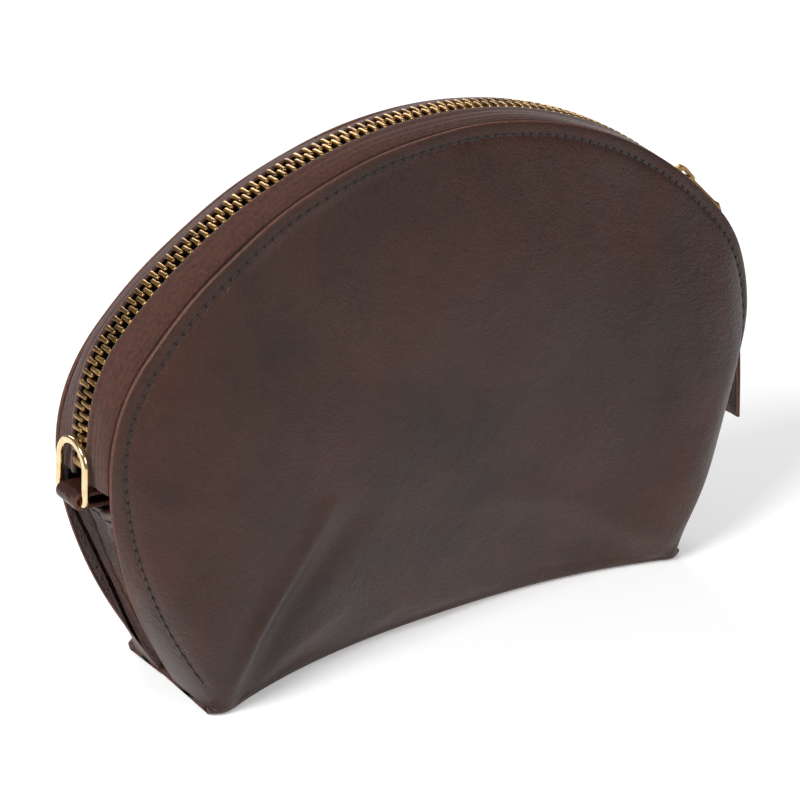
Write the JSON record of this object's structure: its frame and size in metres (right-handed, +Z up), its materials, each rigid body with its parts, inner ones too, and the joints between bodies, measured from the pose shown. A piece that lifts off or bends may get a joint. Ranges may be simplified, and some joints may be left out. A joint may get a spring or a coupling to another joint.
{
  "type": "shaving kit bag",
  "caption": "Half-moon leather shaving kit bag with a curved metal zip over the top, a leather pull and a D-ring on a tab at one end.",
  "frame": {"origin": "middle of the base, on the surface that the bag stands on", "axes": "+X along the zip towards its closed end, +Y to the back, +Z up"},
  "size_m": [0.2486, 0.0554, 0.1597],
  "materials": {
    "body_leather": "semi-gloss pull-up leather, mottled",
    "gusset_leather": "semi-gloss, creased",
    "trim_leather": "satin, raw edges",
    "lining": "matt woven twill",
    "zip_tape": "matt herringbone weave",
    "zip_brass": "antique satin",
    "ring_metal": "polished pale gold plate",
    "thread": "waxed"
  },
  "bodies": {
    "bag": {"front_panel": "body_leather", "back_panel": "body_leather", "left_gusset": "gusset_leather", "right_gusset": "gusset_leather", "front_lining": "lining", "back_lining": "lining", "zip_tape_front": "zip_tape", "zip_tape_back": "zip_tape", "zip_teeth_front": "zip_brass", "zip_teeth_back": "zip_brass", "zip_bottom_stop": "zip_brass", "zip_top_stop_front": "zip_brass", "zip_top_stop_back": "zip_brass", "d_ring_tab": "trim_leather", "front_seam_thread": "thread", "back_seam_thread": "thread", "left_gusset_thread": "thread", "right_gusset_thread": "thread"},
    "slider": {"slider_body": "zip_brass"},
    "puller": {"puller_ring": "zip_brass"},
    "strap": {"pull_strap": "trim_leather"},
    "ring": {"d_ring": "ring_metal"}
  },
  "joints": [
    {"name": "slider_travel", "type": "hinge", "parent": "bag", "child": "slider", "pos_m": [-0.00318, 0, 0.02015], "axis": [0, 1, 0], "range_deg": [-88.5, 0]},
    {"name": "puller_swing", "type": "hinge", "parent": "slider", "child": "puller", "pos_m": [0.09895, 0, 0.11911], "axis": [0, -1, 0], "range_deg": [0, 100]},
    {"name": "strap_swing", "type": "hinge", "parent": "puller", "child": "strap", "pos_m": [0.10831, 0, 0.1087], "axis": [0, -1, 0], "range_deg": [0, 72]},
    {"name": "d_ring_swing", "type": "hinge", "parent": "bag", "child": "ring", "pos_m": [-0.1186, 0, 0.0695], "axis": [0, -1, 0], "range_deg": [0, 165]}
  ],
  "couplings": [
    {"joint": "strap_swing", "follows": "slider_travel", "ratio": -0.8}
  ]
}
